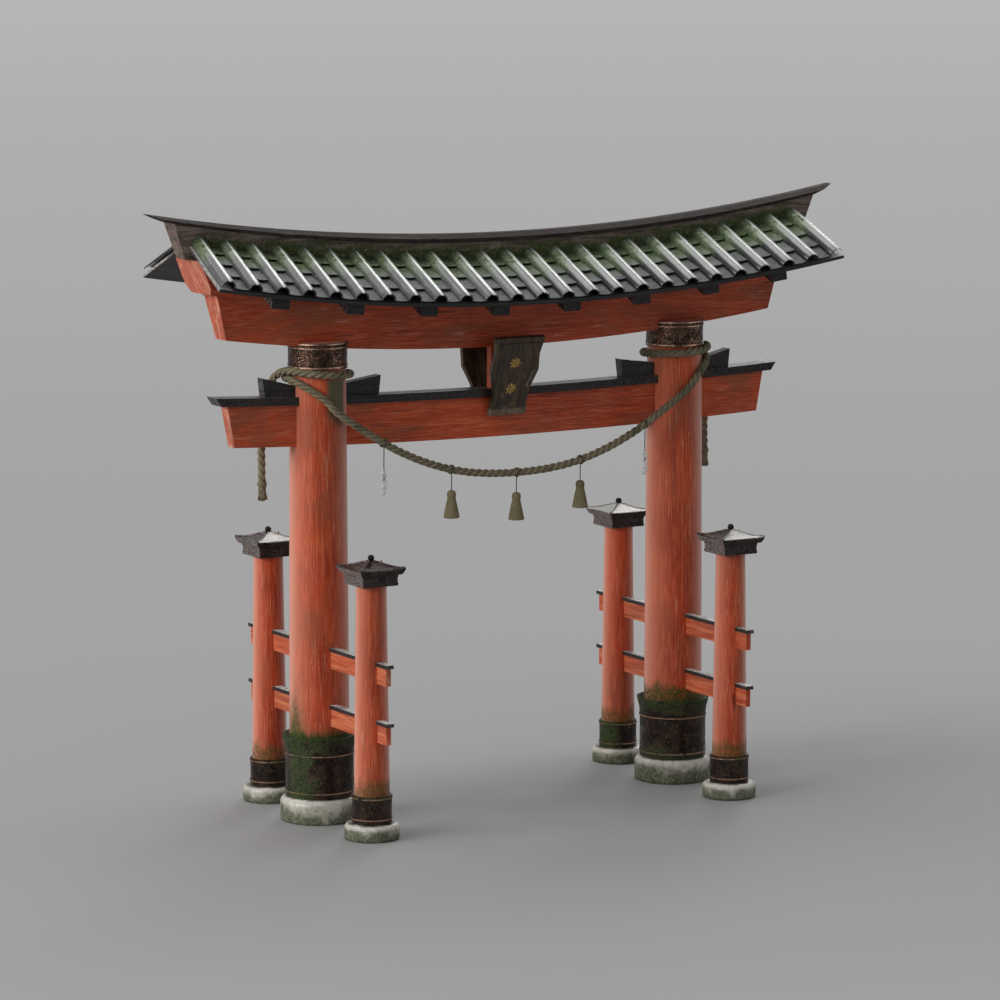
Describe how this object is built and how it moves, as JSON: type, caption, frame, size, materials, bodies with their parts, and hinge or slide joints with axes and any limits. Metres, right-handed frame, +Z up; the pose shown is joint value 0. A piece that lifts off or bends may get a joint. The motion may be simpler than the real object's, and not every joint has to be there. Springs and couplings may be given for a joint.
{
  "type": "torii gate",
  "caption": "Red wooden shrine gate with curved tiled lintels, braced side posts, stone bases and a straw rope.",
  "frame": {"origin": "on the ground, midway between the two main pillars", "axes": "+X along the lintels, -Y towards the front, +Z up"},
  "size_m": [6.959, 2.59, 5.4054],
  "materials": {
    "red_wood": "weathered vermilion lacquer over timber",
    "black_wood": "weathered black lacquer over timber",
    "ridge_wood": "dark brown weathered timber, mossy at the foot",
    "plaque_wood": "dark weathered timber, worn pale at the foot",
    "roof_tile": "grey smoked clay tile with a dull sheen and moss",
    "copper": "mottled brown copper",
    "dark_metal": "blackened copper sheet with worn bands",
    "cap_metal": "dark mottled bronze sheet",
    "stone": "pale grey granite with green algae",
    "straw": "twisted rice straw",
    "paper": "white folded paper",
    "iron": "dark forged iron"
  },
  "bodies": {
    "root": {"collar_left": "copper", "collar_right": "copper", "eave_blocks_back": "black_wood", "eave_blocks_front": "black_wood", "lower_lintel": "red_wood", "lower_side_beam_left": "red_wood", "lower_side_beam_right": "red_wood", "main_base_left": "stone", "main_base_right": "stone", "main_pillar_left": "red_wood", "main_pillar_right": "red_wood", "main_sleeve_left": "dark_metal", "main_sleeve_right": "dark_metal", "plaque_back": "plaque_wood", "plaque_front": "plaque_wood", "plaque_hooks": "iron", "post_cap_back_left": "cap_metal", "post_cap_back_right": "cap_metal", "post_cap_front_left": "cap_metal", "post_cap_front_right": "cap_metal", "ridge_board": "ridge_wood", "ridge_cap": "ridge_wood", "roof_board_back": "black_wood", "roof_board_front": "black_wood", "roof_slope_back": "roof_tile", "roof_slope_front": "roof_tile", "rope": "straw", "side_base_back_left": "stone", "side_base_back_right": "stone", "side_base_front_left": "stone", "side_base_front_right": "stone", "side_beam_covers_left": "black_wood", "side_beam_covers_right": "black_wood", "side_post_back_left": "red_wood", "side_post_back_right": "red_wood", "side_post_front_left": "red_wood", "side_post_front_right": "red_wood", "side_sleeve_back_left": "dark_metal", "side_sleeve_back_right": "dark_metal", "side_sleeve_front_left": "dark_metal", "side_sleeve_front_right": "dark_metal", "streamer_cord_left": "straw", "streamer_cord_right": "straw", "streamers": "paper", "strut": "red_wood", "tassel_cord_left": "straw", "tassel_cord_middle": "straw", "tassel_cord_right": "straw", "tassels": "straw", "tie_beam": "red_wood", "tie_beam_covers": "black_wood", "upper_lintel": "red_wood", "upper_side_beam_left": "red_wood", "upper_side_beam_right": "red_wood", "wedges": "black_wood"}
  },
  "joints": []
}
